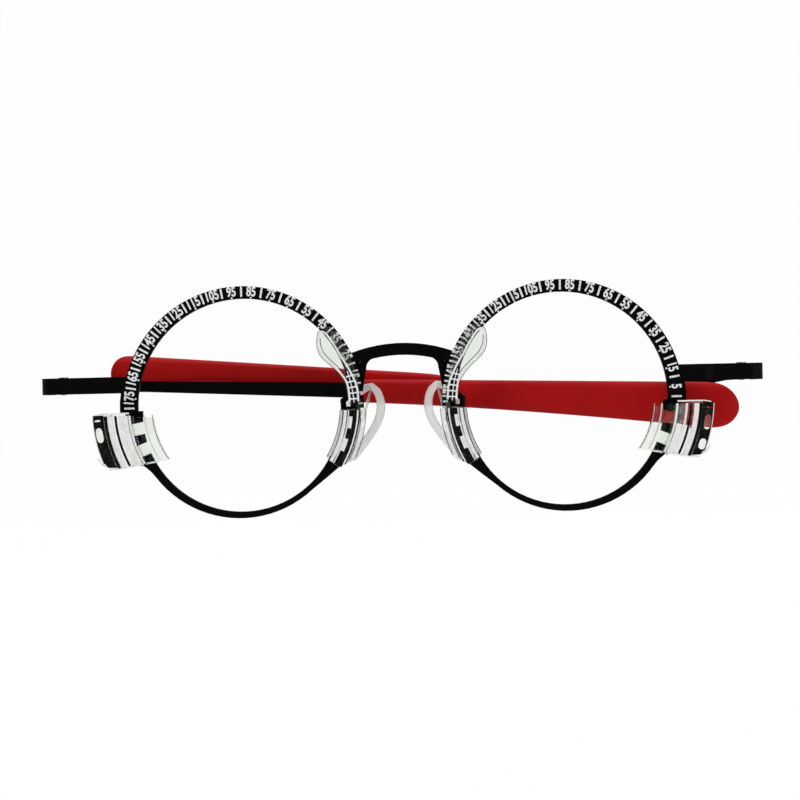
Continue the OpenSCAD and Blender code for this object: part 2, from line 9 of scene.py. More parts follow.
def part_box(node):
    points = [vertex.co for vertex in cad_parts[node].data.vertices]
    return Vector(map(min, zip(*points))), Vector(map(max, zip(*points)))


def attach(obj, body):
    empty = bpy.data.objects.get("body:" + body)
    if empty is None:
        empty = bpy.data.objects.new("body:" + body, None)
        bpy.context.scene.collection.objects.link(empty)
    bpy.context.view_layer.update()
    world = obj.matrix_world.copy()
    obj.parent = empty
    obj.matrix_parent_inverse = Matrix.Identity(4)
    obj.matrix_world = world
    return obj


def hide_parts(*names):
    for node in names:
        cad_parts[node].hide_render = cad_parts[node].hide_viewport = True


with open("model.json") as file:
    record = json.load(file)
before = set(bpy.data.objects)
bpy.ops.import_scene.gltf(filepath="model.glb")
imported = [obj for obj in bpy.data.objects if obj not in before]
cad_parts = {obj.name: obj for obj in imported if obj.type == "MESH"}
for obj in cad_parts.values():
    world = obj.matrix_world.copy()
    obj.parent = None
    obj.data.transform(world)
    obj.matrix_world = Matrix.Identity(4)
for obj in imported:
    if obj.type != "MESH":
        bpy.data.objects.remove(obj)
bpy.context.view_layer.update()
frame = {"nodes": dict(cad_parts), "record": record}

nodes = frame["nodes"]

# Sizes are in millimetres and turns in degrees. x and z are counted from the middle between the lens
# centres and y from the face of the metal front, which looks towards -y
MM = 0.001
LENS_X = 27.0
LENS_Z = 18.55
FACE_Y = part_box("front_frame")[0].y
SIDES = {"right": -1, "left": 1}


def place(x, y, z):
    """A point of the trial frame, in metres."""
    return Vector((x * MM, FACE_Y + y * MM, (LENS_Z + z) * MM))


def round_lens(side, radius, degrees):
    """x and z of a point round a lens centre, 0 degrees pointing to the temple."""
    a = math.radians(degrees)
    return side * (LENS_X + radius * math.cos(a)), radius * math.sin(a)


# Modelling helpers
def start_clean():
    if bpy.context.object and bpy.context.object.mode != "OBJECT":
        bpy.ops.object.mode_set(mode="OBJECT")
    bpy.ops.object.select_all(action="DESELECT")


def keep(name, material, smooth=None):
    """Names the finished active object, sets its origin and its finish."""
    start_clean()
    piece = bpy.context.view_layer.objects.active
    piece.select_set(True)
    bpy.ops.object.transform_apply(location=True, rotation=True, scale=True)
    piece.name = piece.data.name = name
    piece.data.materials.clear()
    piece.data.materials.append(material)
    if smooth:
        bpy.ops.object.shade_smooth_by_angle(angle=math.radians(smooth))
    return piece


def outward():
    bpy.ops.object.mode_set(mode="EDIT")
    bpy.ops.mesh.select_all(action="SELECT")
    bpy.ops.mesh.remove_doubles(threshold=0.002 * MM)
    bpy.ops.mesh.normals_make_consistent(inside=False)
    bpy.ops.object.mode_set(mode="OBJECT")


def join(pieces):
    start_clean()
    for piece in pieces:
        piece.select_set(True)
    bpy.context.view_layer.objects.active = pieces[0]
    if len(pieces) > 1:
        bpy.ops.object.join()
    return bpy.context.view_layer.objects.active


def bead(spots, width, height, ring=False):
    """A rounded bead along points at one depth: a curve with a round section, pressed flatter in y."""
    start_clean()
    bpy.ops.curve.primitive_bezier_curve_add()
    line = bpy.context.object
    line.data.splines.clear()
    run = line.data.splines.new("POLY")
    run.points.add(len(spots) - 1)
    for knot, spot in zip(run.points, spots):
        knot.co = (*spot, 1)
    run.use_cyclic_u = ring
    line.data.bevel_depth = width / 2 * MM
    line.data.bevel_resolution = 2
    line.data.use_fill_caps = not ring
    bpy.ops.object.convert(target="MESH")
    depth = spots[0][1]
    flatter = Matrix.Diagonal((1, height / width, 1, 1))
    bpy.context.object.data.transform(
        Matrix.Translation((0, depth, 0)) @ flatter @ Matrix.Translation((0, -depth, 0)))
    return bpy.context.object


def apply_all(piece):
    start_clean()
    piece.select_set(True)
    bpy.context.view_layer.objects.active = piece
    for modifier in list(piece.modifiers):
        bpy.ops.object.modifier_apply(modifier=modifier.name)


# Materials
def linear(code, alpha=1.0):
    """An sRGB hex colour as the linear colour that Blender wants."""
    parts = [int(code[i:i + 2], 16) / 255 for i in (1, 3, 5)]
    return [c / 12.92 if c <= 0.04045 else ((c + 0.055) / 1.055) ** 2.4 for c in parts] + [alpha]


def add(tree, kind, links=None, **settings):
    """Adds a node: links are input name to value or to another node's output."""
    made = tree.nodes.new(kind)
    for key, value in settings.items():
        setattr(made, key, value)
    for key, value in (links or {}).items():
        if isinstance(value, bpy.types.NodeSocket):
            tree.links.new(value, made.inputs[key])
        else:
            made.inputs[key].default_value = value
    return made


def set_stops(ramp, *stops):
    """Sets the two stops of a colour ramp, each a position and an sRGB colour."""
    for element, (position, code) in zip(ramp.color_ramp.elements, stops):
        element.position = position
        element.color = linear(code)


def per_mm(size):
    """Scale of a noise whose spots are this many millimetres across."""
    return 1 / (size * MM)


def finish_named(name, sockets=None):
    """A new material with its shader, whose sockets are set, and the coordinates for its patterns."""
    material = bpy.data.materials.new(name)
    material.use_nodes = True
    tree = material.node_tree
    tree.nodes.clear()
    shader = add(tree, "ShaderNodeBsdfPrincipled", sockets)
    add(tree, "ShaderNodeOutputMaterial", {"Surface": shader.outputs["BSDF"]})
    where = add(tree, "ShaderNodeTexCoord").outputs["Object"]
    return material, tree, shader, where


def dress(tree, shader, tone, gloss, bump=None):
    """Links colour, roughness and bump to the shader."""
    tree.links.new(tone.outputs["Color"], shader.inputs["Base Color"])
    tree.links.new(gloss.outputs["Result"], shader.inputs["Roughness"])
    if bump:
        tree.links.new(bump.outputs["Normal"], shader.inputs["Normal"])


def black_enamel():
    # Baked black enamel on pressed steel: satin, with a faint orange peel some 0.3 mm across
    material, tree, shader, where = finish_named("black_baked_enamel", {"Specular IOR Level": 0.06})
    peel = add(tree, "ShaderNodeTexNoise", {"Vector": where, "Scale": per_mm(0.3125), "Detail": 3})
    cloud = add(tree, "ShaderNodeTexNoise", {"Vector": where, "Scale": per_mm(4.5455), "Detail": 4})
    tone = add(tree, "ShaderNodeValToRGB", {"Fac": cloud.outputs["Fac"]})
    set_stops(tone, (0.35, "#010102"), (0.7, "#040405"))
    gloss = add(tree, "ShaderNodeMapRange", {"Value": cloud.outputs["Fac"], "To Min": 0.36, "To Max": 0.5})
    bump = add(tree, "ShaderNodeBump",
               {"Height": peel.outputs["Fac"], "Strength": 0.12, "Distance": 0.02 * MM})
    dress(tree, shader, tone, gloss, bump)
    return material


def clear_polycarbonate():
    # Polished moulded polycarbonate: water clear, with slow waves some 3 mm long from the mould
    material, tree, shader, where = finish_named(
        "clear_polycarbonate", {"IOR": 1.585, "Transmission Weight": 1.0})
    wave = add(tree, "ShaderNodeTexNoise", {"Vector": where, "Scale": per_mm(3.0303), "Detail": 1})
    scuff = add(tree, "ShaderNodeTexNoise", {"Vector": where, "Scale": per_mm(0.3846), "Detail": 4})
    tone = add(tree, "ShaderNodeValToRGB", {"Fac": wave.outputs["Fac"]})
    set_stops(tone, (0, "#e6ebe4"), (1, "#f3f6f0"))
    gloss = add(tree, "ShaderNodeMapRange", {"Value": scuff.outputs["Fac"], "From Min": 0.45,
                                             "From Max": 0.75, "To Min": 0.01, "To Max": 0.05})
    bump = add(tree, "ShaderNodeBump",
               {"Height": wave.outputs["Fac"], "Strength": 0.35, "Distance": 0.1 * MM})
    dress(tree, shader, tone, gloss, bump)
    return material


def clear_silicone():
    # Moulded clear silicone: softer and a little milky, satin in clouds some 2.5 mm across
    material, tree, shader, where = finish_named(
        "clear_silicone", {"IOR": 1.2, "Transmission Weight": 0.72})
    milk = add(tree, "ShaderNodeTexNoise", {"Vector": where, "Scale": per_mm(2.5), "Detail": 3})
    tone = add(tree, "ShaderNodeValToRGB", {"Fac": milk.outputs["Fac"]})
    set_stops(tone, (0, "#eceeec"), (1, "#fafaf8"))
    gloss = add(tree, "ShaderNodeMapRange", {"Value": milk.outputs["Fac"], "To Min": 0.08, "To Max": 0.2})
    bump = add(tree, "ShaderNodeBump",
               {"Height": milk.outputs["Fac"], "Strength": 0.2, "Distance": 0.05 * MM})
    dress(tree, shader, tone, gloss, bump)
    return material


def red_silicone():
    # Matt moulded silicone sleeve: saturated red, fine skin some 0.2 mm, faint handling marks
    material, tree, shader, where = finish_named(
        "red_silicone", {"Specular IOR Level": 0.14, "Subsurface Weight": 0.06,
                         "Subsurface Radius": (1.0 * MM, 0.3 * MM, 0.2 * MM)})
    cloud = add(tree, "ShaderNodeTexNoise", {"Vector": where, "Scale": per_mm(11.111), "Detail": 4})
    skin = add(tree, "ShaderNodeTexNoise", {"Vector": where, "Scale": per_mm(0.1923), "Detail": 3})
    tone = add(tree, "ShaderNodeValToRGB", {"Fac": cloud.outputs["Fac"]})
    set_stops(tone, (0.3, "#a80507"), (0.72, "#bd090a"))
    gloss = add(tree, "ShaderNodeMapRange", {"Value": cloud.outputs["Fac"], "To Min": 0.48, "To Max": 0.62})
    bump = add(tree, "ShaderNodeBump",
               {"Height": skin.outputs["Fac"], "Strength": 0.2, "Distance": 0.02 * MM})
    dress(tree, shader, tone, gloss, bump)
    return material


def turned_steel():
    # Turned screw steel: bright grey metal with a fine grain some 0.1 mm across from the lathe
    material, tree, shader, where = finish_named("turned_screw_steel", {"Metallic": 1.0})
    grain = add(tree, "ShaderNodeTexNoise", {"Vector": where, "Scale": per_mm(0.1111), "Detail": 2})
    tone = add(tree, "ShaderNodeValToRGB", {"Fac": grain.outputs["Fac"]})
    set_stops(tone, (0, "#6f7174"), (1, "#a3a5a8"))
    gloss = add(tree, "ShaderNodeMapRange", {"Value": grain.outputs["Fac"], "To Min": 0.22, "To Max": 0.4})
    dress(tree, shader, tone, gloss)
    return material


def white_ink():
    # Pad-printed white ink: opaque, matt, slightly thin in spots some 0.4 mm across
    material, tree, shader, where = finish_named("white_print")
    thin = add(tree, "ShaderNodeTexNoise", {"Vector": where, "Scale": per_mm(0.3846), "Detail": 3})
    tone = add(tree, "ShaderNodeValToRGB", {"Fac": thin.outputs["Fac"]})
    set_stops(tone, (0.25, "#c9cbcb"), (0.5, "#f4f5f5"))
    gloss = add(tree, "ShaderNodeMapRange", {"Value": thin.outputs["Fac"], "To Min": 0.5, "To Max": 0.7})
    dress(tree, shader, tone, gloss)
    return material


def dark_film():
    # Painted shade: a dark film on the clear wings and in the grooves, standing in for the dark they show
    # there; near black, mottled grey in spots
    material, tree, shader, where = finish_named("painted_shade_film", {"Specular IOR Level": 0.12})
    scuff = add(tree, "ShaderNodeTexNoise", {"Vector": where, "Scale": per_mm(0.6667), "Detail": 5})
    tone = add(tree, "ShaderNodeValToRGB", {"Fac": scuff.outputs["Fac"]})
    set_stops(tone, (0.52, "#030504"), (0.85, "#343a37"))
    gloss = add(tree, "ShaderNodeMapRange", {"Value": scuff.outputs["Fac"], "To Min": 0.2, "To Max": 0.5})
    dress(tree, shader, tone, gloss)
    return material


def satin_crest():
    # Painted highlight on the crests of the moulded ribs: near white and barely clear, so that they read as
    # white lines
    material, tree, shader, where = finish_named(
        "painted_highlight_crest", {"IOR": 1.585, "Transmission Weight": 0.04})
    haze = add(tree, "ShaderNodeTexNoise", {"Vector": where, "Scale": per_mm(1.1111), "Detail": 3})
    tone = add(tree, "ShaderNodeValToRGB", {"Fac": haze.outputs["Fac"]})
    set_stops(tone, (0.3, "#e9ece8"), (0.55, "#fdfdfc"))
    gloss = add(tree, "ShaderNodeMapRange", {"Value": haze.outputs["Fac"], "To Min": 0.25, "To Max": 0.45})
    dress(tree, shader, tone, gloss)
    return material


def milky_silicone():
    # Thick rim of the pads: a milkier, whiter copy of the pads' silicone; the thick silicone is milky, and
    # the extra brightness is painted highlight
    material, tree, shader, where = finish_named(
        "milky_and_highlight_silicone_rim", {"IOR": 1.14, "Transmission Weight": 0.5})
    milk = add(tree, "ShaderNodeTexNoise", {"Vector": where, "Scale": per_mm(2), "Detail": 3})
    tone = add(tree, "ShaderNodeValToRGB", {"Fac": milk.outputs["Fac"]})
    set_stops(tone, (0.3, "#fafaf7"), (0.65, "#fffffe"))
    gloss = add(tree, "ShaderNodeMapRange", {"Value": milk.outputs["Fac"], "To Min": 0.25, "To Max": 0.4})
    dress(tree, shader, tone, gloss)
    return material


enamel = black_enamel()
polycarbonate = clear_polycarbonate()
soft_clear = clear_silicone()
soft_red = red_silicone()
steel = turned_steel()
ink = white_ink()
# painted shade for the clear holders and fingers
painted_shade = dark_film()
crest_highlight = satin_crest()
soft_milky_and_highlight = milky_silicone()

FINISH = {
    "black_metal": enamel,
    "clear_plastic": polycarbonate,
    "clear_silicone": soft_clear,
    "soft_red": soft_red,
    "screw_steel": steel,
}
for part in frame["record"]["subparts"]:
    mesh = nodes[part["node"]].data
    mesh.materials.clear()
    mesh.materials.append(FINISH[part["material_slot"]])


# Degree scale printed on each ring's band: numbers at the fives, each with a dot, and marks at the tens
BAND_X, BAND_Z, BAND_R = 26.57, 0.17, 18.95
INK_T = 0.02
NUMBER_SIZE, NUMBER_BOLD = 2.3, 0.075
NUMBER_SHAPE = (0.7, 0.98)
MARK_W, MARK_L = 0.32, 1.7
DOT_R = 0.16
# the numbers and marks lie this far outside the band's middle, and the dots this far inside it
MARKS_OUT, DOTS_IN = 0.1, 0.9


def set_on_band(piece, side, degrees, radius):
    """Moves a flat piece from the origin to its place on the scale, with its top outwards."""
    a = math.radians(degrees)
    spot = place(SIDES[side] * BAND_X + radius * math.cos(a), 0, BAND_Z + radius * math.sin(a))
    upright = Matrix.Rotation(math.pi / 2, 4, "X")
    piece.data.transform(Matrix.Translation(spot) @ Matrix.Rotation(math.pi / 2 - a, 4, "Y") @ upright)
    return piece


def print_number(degrees):
    start_clean()
    bpy.ops.object.text_add()
    words = bpy.context.object.data
    words.body = str(degrees)
    words.align_x = words.align_y = "CENTER"
    words.size = NUMBER_SIZE * MM
    words.offset = NUMBER_BOLD * MM
    words.extrude = INK_T / 2 * MM
    words.resolution_u = 3
    bpy.ops.object.convert(target="MESH")
    bpy.context.object.data.transform(Matrix.Diagonal((*NUMBER_SHAPE, 1, 1)))
    return bpy.context.object


def print_scale(side):
    marks = []
    for degrees in range(5, 180, 10):
        marks.append(set_on_band(print_number(degrees), side, degrees, BAND_R + MARKS_OUT))
        start_clean()
        bpy.ops.mesh.primitive_cylinder_add(vertices=10, radius=DOT_R * MM, depth=INK_T * MM)
        marks.append(set_on_band(bpy.context.object, side, degrees, BAND_R - DOTS_IN))
    for degrees in range(0, 181, 10):
        start_clean()
        bpy.ops.mesh.primitive_cube_add(size=1)
        bpy.context.object.data.transform(Matrix.Diagonal((MARK_W * MM, MARK_L * MM, INK_T * MM, 1)))
        marks.append(set_on_band(bpy.context.object, side, degrees, BAND_R + MARKS_OUT))
    join(marks)
    piece = keep("degree_scale_" + side, ink)
    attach(piece, "front")


for side in SIDES:
    print_scale(side)


# Red soft sleeves of the temples, as in the part's source: places along each bar are counted from its
# hinge, and heights from the middle of the end strip
HINGE = (58.3, 12.9, 4.1)
STRIP_RISE = 4.1
ARM_OFF = 1.8
TEMPLE = {
    "right": dict(lay=3.0, start=49.12, reach=115.6, top=(0.25, -1.77), end=0.6),
    "left": dict(lay=-1.2, start=51.45, reach=109.0, top=(0.78, 5.5), end=0.48),
}
SLEEVE_T = (2.4, 2.6)
# the right sleeve's height where it starts, what it gains, and how late
RIGHT_H, RIGHT_GAIN, RIGHT_LATE = 4.0, 4.3, 1.5
# the left sleeve's lower edge where it starts, its rise up to a share of the length, its fall from there
LEFT_LOW, LEFT_RISE, LEFT_KNEE, LEFT_FALL = -3.2, 3.6, 0.73, 1.7
SECTIONS = 26
# sections crowd towards the tip, and the tip's sides round off later than its outline
CROWDING, SIDE_ROUNDING = 1.5, 0.6
CORNER = 0.72
OPEN_END = 0.94
LIP_W, LIP_DEPTH = 0.35, 0.4


def sleeve_lines(side, t):
    """Top and bottom of a sleeve at a share t of its length, from the strip's centre line."""
    top = TEMPLE[side]["top"][0] * (1 - t) + TEMPLE[side]["top"][1] * t
    if side == "right":
        return top, top - (RIGHT_H + RIGHT_GAIN * t ** RIGHT_LATE)
    rise = LEFT_RISE * min(1, t / LEFT_KNEE)
    fall = LEFT_FALL * max(0, (t - LEFT_KNEE) / (1 - LEFT_KNEE))
    return top, LEFT_LOW + rise - fall


def sleeve_sections(side):
    """Place along the bar, middle height, half thickness and half height of each section."""
    facts = TEMPLE[side]
    tip_top, tip_low = sleeve_lines(side, 1)
    tip = (tip_top - tip_low) * facts["end"]
    sections = []
    for i in range(SECTIONS):
        t = 1 - (1 - i / (SECTIONS - 1)) ** CROWDING
        along = facts["start"] + (facts["reach"] - facts["start"]) * t
        top, low = sleeve_lines(side, t)
        into_tip = max(0.0, 1 - (facts["reach"] - along) / tip)
        rounding = math.sqrt(max(0.02, 1 - into_tip ** 2))
        drawn_in = OPEN_END if i == 0 else 1
        half_t = (SLEEVE_T[0] * (1 - t) + SLEEVE_T[1] * t) / 2 * rounding ** SIDE_ROUNDING * drawn_in
        half_h = (top - low) / 2 * rounding * drawn_in
        sections.append((along, (top + low) / 2 + STRIP_RISE - HINGE[2], half_t, half_h))
    return sections


def make_sleeve(side):
    sections = sleeve_sections(side)
    start_clean()
    bpy.ops.mesh.primitive_plane_add(size=2, rotation=(0, math.radians(90), 0))
    bpy.ops.object.transform_apply(location=False, rotation=True, scale=False)
    piece = bpy.context.object
    along, mid, half_t, half_h = sections[0]
    piece.data.transform(Matrix.Translation((along * MM, 0, mid * MM))
                         @ Matrix.Diagonal((1, half_t * MM, half_h * MM, 1)))
    bpy.ops.object.mode_set(mode="EDIT")
    bpy.ops.mesh.select_all(action="SELECT")
    bpy.ops.mesh.bevel(offset=half_t * CORNER * MM, segments=6, affect="VERTICES")
    for before, after in zip(sections, sections[1:]):
        shift = ((after[0] - before[0]) * MM, 0, (after[1] - before[1]) * MM)
        bpy.ops.mesh.extrude_region_move(TRANSFORM_OT_translate={"value": shift})
        bpy.ops.transform.resize(value=(1, after[2] / before[2], after[3] / before[3]),
                                 center_override=(after[0] * MM, 0, after[1] * MM))
    bpy.ops.mesh.select_all(action="DESELECT")
    bpy.ops.object.mode_set(mode="OBJECT")
    # the lip round the bar at the open end
    for face in piece.data.polygons:
        across = abs(face.normal.x) > 0.99
        face.select = face.normal.x < -0.99 or (across and face.center.x < (along + 0.1) * MM)
    bpy.ops.object.mode_set(mode="EDIT")
    bpy.ops.mesh.inset(thickness=LIP_W * MM)
    bpy.ops.mesh.extrude_region_move(TRANSFORM_OT_translate={"value": (LIP_DEPTH * MM, 0, 0)})
    bpy.ops.object.mode_set(mode="OBJECT")
    outward()
    rounded = piece.modifiers.new("round", "SUBSURF")
    rounded.levels = rounded.render_levels = 1
    apply_all(piece)
    # from along the bar to its folded place behind the rings
    sign = SIDES[side]
    lay = Matrix.Rotation(math.radians(-TEMPLE[side]["lay"]), 4, "Z")
    mirror = Matrix.Diagonal((-sign, 1, 1, 1))
    hinge = Matrix.Translation(place(sign * HINGE[0], HINGE[1], HINGE[2]))
    piece.data.transform(hinge @ mirror @ lay @ Matrix.Translation((0, ARM_OFF * MM, 0)))
    if sign > 0:
        piece.data.flip_normals()
    bpy.context.view_layer.objects.active = piece
    piece = keep("soft_sleeve_" + side, soft_red, 50)
    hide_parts("temple_sleeve_" + side)
    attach(piece, "temple_" + side)


for side in SIDES:
    make_sleeve(side)


# Clear soft nose pads: a thin clear drop with a thick milky rim, whose whiter finish is partly painted
# highlight
PAD_MID = (7.2, 5.9, -2.9)
PAD_L, PAD_W, PAD_T = 13.6, 8.6, 1.7
PAD_MIDDLE_T = 0.72
PAD_LEAN, PAD_TURN = -16, -44
PAD_SHIFT = {"right": -0.4, "left": 0.4}
RIM_W = 1.15
RIM_POINTS = 30
INNER_W, INNER_L = PAD_W / 2 - RIM_W / 2, PAD_L / 2 - RIM_W / 2
# the drop is widest above its middle, and full rather than slender
DROP_HIGH, DROP_FULL = 1.6, 0.62


def pad_half(t):
    """Half width of a pad at a share t of its length, as a share of its greatest."""
    return math.sin(math.pi * t ** DROP_HIGH) ** DROP_FULL


def set_pad(piece, side):
    """Moves a piece drawn upright at the origin to the pad's place, which leans on the nose."""
    sign = SIDES[side]
    lean = (Matrix.Rotation(math.radians(PAD_LEAN), 4, "Y")
            @ Matrix.Rotation(math.radians(PAD_TURN), 4, "Z"))
    spot = Matrix.Translation([c * MM for c in PAD_MID])
    mirror = Matrix.Diagonal((sign, 1, 1, 1))
    piece.data.transform(Matrix.Translation(place(0, 0, 0)) @ mirror @ spot @ lean
                         @ Matrix.Translation((0, PAD_SHIFT[side] * MM, 0)))
    if sign < 0:
        piece.data.flip_normals()
    bpy.context.view_layer.objects.active = piece


def make_pad(side):
    start_clean()
    bpy.ops.mesh.primitive_uv_sphere_add(segments=32, ring_count=24, radius=1)
    piece = bpy.context.object
    # each level of the sphere is drawn in to the drop's width there
    levels = sorted({round(v.co.z, 5) for v in piece.data.vertices})
    for level in levels[1:-1]:
        want = pad_half((level + 1) / 2)
        now = math.sqrt(1 - level ** 2)
        for v in piece.data.vertices:
            v.select = abs(v.co.z - level) < 1e-4
        bpy.ops.object.mode_set(mode="EDIT")
        bpy.ops.transform.resize(value=(math.sqrt(want) / now, want / now, 1),
                                 center_override=(0, 0, level))
        bpy.ops.mesh.select_all(action="DESELECT")
        bpy.ops.object.mode_set(mode="OBJECT")
    piece.data.transform(Matrix.Diagonal((PAD_MIDDLE_T / 2 * MM, INNER_W * MM, INNER_L * MM, 1)))
    set_pad(piece, side)
    piece = keep("soft_nose_pad_" + side, soft_clear, 60)
    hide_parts("nose_pad_" + side)
    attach(piece, "pad_" + side)


def make_pad_rim(side):
    half = []
    for k in range(1, RIM_POINTS):
        t = k / RIM_POINTS
        half.append((INNER_W * pad_half(t), INNER_L * (2 * t - 1)))
    outline = [(0, -INNER_L)] + half + [(0, INNER_L)] + [(-w, z) for w, z in reversed(half)]
    rim = bead([(w * MM, 0, z * MM) for w, z in outline], RIM_W, PAD_T, ring=True)
    rim.data.transform(Matrix.Rotation(math.radians(90), 4, "Z"))
    outward()
    set_pad(rim, side)
    rim = keep("soft_nose_pad_rim_" + side, soft_milky_and_highlight, 60)
    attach(rim, "pad_" + side)


for side in SIDES:
    make_pad(side)
    make_pad_rim(side)


# Painted shade on the front of the temporal holders' outer wings: a dark sheet for the dark that the clear
# wings show, with windows in it: a grid of radii and turns, whose open faces are rows of the middle column
PANEL_TURNS = (-2.2, -3.9, -4.8, -7.0, -10.2, -13.4, -16.9, -19.5, -21.6, -23.2)
PANEL_RADII = (22.0, 23.15, 24.3, 24.5)
PANEL_FOOT = (-25.8, -24.4, -23.2, -22.9)
PANEL_T = 0.12
PANEL_LIFT = 0.01
WINDOW_ROWS = {"right": (1, 3, 4), "left": (1, 3, 4, 6, 7)}
WING_FRONT = -2.6
OUTER_FOOT = (len(PANEL_RADII) - 1, len(PANEL_TURNS) - 1)
OUTER_FOOT_IN = 0.8


def make_wing_panel(side):
    start_clean()
    bpy.ops.mesh.primitive_grid_add(x_subdivisions=len(PANEL_RADII) - 1,
                                    y_subdivisions=len(PANEL_TURNS) - 1, size=2)
    piece = bpy.context.object
    shape = bmesh.new()
    shape.from_mesh(piece.data)
    columns = sorted({round(v.co.x, 4) for v in shape.verts})
    rows = sorted({round(v.co.y, 4) for v in shape.verts}, reverse=True)
    open_faces = []
    for face in shape.faces:
        middle = face.calc_center_median()
        row = sum(height > middle.y for height in rows) - 1
        if abs(middle.x) < 0.2 and row in WINDOW_ROWS[side]:
            open_faces.append(face)
    for v in shape.verts:
        column, row = columns.index(round(v.co.x, 4)), rows.index(round(v.co.y, 4))
        drawn_in = OUTER_FOOT_IN if (column, row) == OUTER_FOOT else 0
        turn = PANEL_FOOT[column] if row == len(PANEL_TURNS) - 1 else PANEL_TURNS[row]
        x, z = round_lens(SIDES[side], PANEL_RADII[column] - drawn_in, turn)
        v.co = place(x, WING_FRONT - PANEL_LIFT - PANEL_T / 2, z)
    bmesh.ops.delete(shape, geom=open_faces, context="FACES")
    sharp = shape.edges.layers.float.new("crease_edge")
    for edge in shape.edges:
        edge[sharp] = 1.0 if edge.is_boundary else 0
    shape.to_mesh(piece.data)
    shape.free()
    rounded = piece.modifiers.new("round", "SUBSURF")
    rounded.levels = rounded.render_levels = 1
    thick = piece.modifiers.new("thick", "SOLIDIFY")
    thick.thickness = PANEL_T * MM
    thick.offset = 0
    apply_all(piece)
    outward()
    piece = keep("wing_painted_shade_" + side, painted_shade)
    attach(piece, "front")


for side in SIDES:
    make_wing_panel(side)


# Painted highlights along the moulded crests and painted shade along the steps of the clear holders and
# spring fingers. Radii and depths are those of the part's source, and feet are points of a holder's lower
# edge, in x from the seat's radius and z
HOLDER_FRONT = -8.1
FLANGE_FRONT = -0.6
SEAT_R = 19.1
FEET = {
    "temporal": ((-7.0, -8.45), (1.0, -9.8), (2.9, -9.65), (4.0, -9.05), (4.7, -7.95), (5.6, -2.15)),
    "nasal": ((-6.0, -5.4), (-4.9, -8.9), (-2.8, -10.1), (-0.9, -9.4), (2.6, -7.1), (3.0, -0.7)),
}
TOPS = {"temporal": -0.8, "nasal": -0.72}
# white lines of painted highlight along the crests: each line's radius, width and depth
CREST_HIGHLIGHTS = {
    "temporal": ((17.8, 0.35, HOLDER_FRONT), (18.55, 0.95, HOLDER_FRONT), (19.35, 0.36, HOLDER_FRONT),
                 (21.0, 0.8, HOLDER_FRONT), (24.47, 0.14, WING_FRONT - PANEL_T),
                 (16.1, 0.25, FLANGE_FRONT), (14.87, 0.12, FLANGE_FRONT)),
    "nasal": ((17.55, 0.5, HOLDER_FRONT), (18.1, 0.2, HOLDER_FRONT), (19.6, 0.25, HOLDER_FRONT),
              (20.5, 0.4, HOLDER_FRONT), (16.75, 0.4, FLANGE_FRONT)),
}
# dark lines of painted shade along the steps: each line's radius, width and depth
STEP_SHADES = {
    "temporal": ((20.05, 0.4, HOLDER_FRONT), (21.7, 0.56, HOLDER_FRONT), (14.77, 0.07, FLANGE_FRONT)),
    "nasal": ((17.2, 0.14, HOLDER_FRONT), (18.85, 1.36, HOLDER_FRONT), (16.5, 0.1, FLANGE_FRONT),
              (20.1, 0.1, HOLDER_FRONT), (20.95, 0.1, HOLDER_FRONT)),
}
LINE_H = 0.12
# painted light in the notches of the nasal holders' dark middle, as white lines: radius, width, first and
# last turn
NOTCH_LIGHTS = ((18.55, 0.62, -6.0, -12.0), (18.5, 0.66, -17.5, -24.0))
# the broad crest starts lower on the left holder
LOWER_START = {("left", 18.55): -13.5}
# lines stop short of the holder's top by this turn and of its foot by this height
TOP_GAP, FOOT_GAP = 0.6, 0.2
LINE_POINTS = 15


def foot_at(x, feet):
    """Height of a holder's lower edge at x from the lens centre."""
    out = x - SEAT_R
    for (x0, z0), (x1, z1) in zip(feet, feet[1:]):
        if x0 <= out <= x1:
            return z0 + (z1 - z0) * (out - x0) / (x1 - x0)
    return feet[0][1] if out < feet[0][0] else feet[-1][1]


def line_turns(block, radius, start):
    """Turns of a line from the holder's top, or from start, down to its foot."""
    top = min(start, math.degrees(math.asin(TOPS[block] / radius)) - TOP_GAP)
    foot = top
    x, z = round_lens(1, radius, foot)
    while z > foot_at(x - LENS_X, FEET[block]) + FOOT_GAP:
        foot -= 0.25
        x, z = round_lens(1, radius, foot)
    return [top + (foot - top) * i / (LINE_POINTS - 1) for i in range(LINE_POINTS)]


def holder_lines(side, table, name, material, notch_lights=()):
    lines = []
    for block, rows in table.items():
        for radius, width, depth in rows:
            spots = []
            for turn in line_turns(block, radius, LOWER_START.get((side, radius), 0)):
                x, z = round_lens(SIDES[side], radius, turn if block == "temporal" else 180 - turn)
                spots.append(place(x, depth - LINE_H / 4, z))
            lines.append(bead(spots, width, LINE_H))
    for radius, width, first, last in notch_lights:
        spots = []
        for i in range(5):
            x, z = round_lens(SIDES[side], radius, 180 - first - (last - first) * i / 4)
            spots.append(place(x, HOLDER_FRONT - LINE_H / 2, z))
        lines.append(bead(spots, width, LINE_H))
    join(lines)
    piece = keep(name + side, material, 60)
    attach(piece, "front")


# Painted highlights along the rims at the top and the foot of the temporal holders: points from the lens
# centre, width, depth
RIM_HIGHLIGHTS = (
    (((17.8, -0.62), (21.9, -0.62)), 0.24, HOLDER_FRONT),
    (((21.9, -0.72), (22.9, -0.62), (23.9, -0.8), (24.3, -1.5)), 0.2, WING_FRONT),
    (((15.6, -9.0), (18.6, -9.5), (20.1, -9.72), (21.2, -9.72)), 0.22, HOLDER_FRONT),
    (((14.0, -8.75), (16.0, -9.05)), 0.3, FLANGE_FRONT),
    (((20.3, -9.72), (22.0, -9.58), (23.05, -9.0), (23.7, -8.0)), 0.16, WING_FRONT),
)


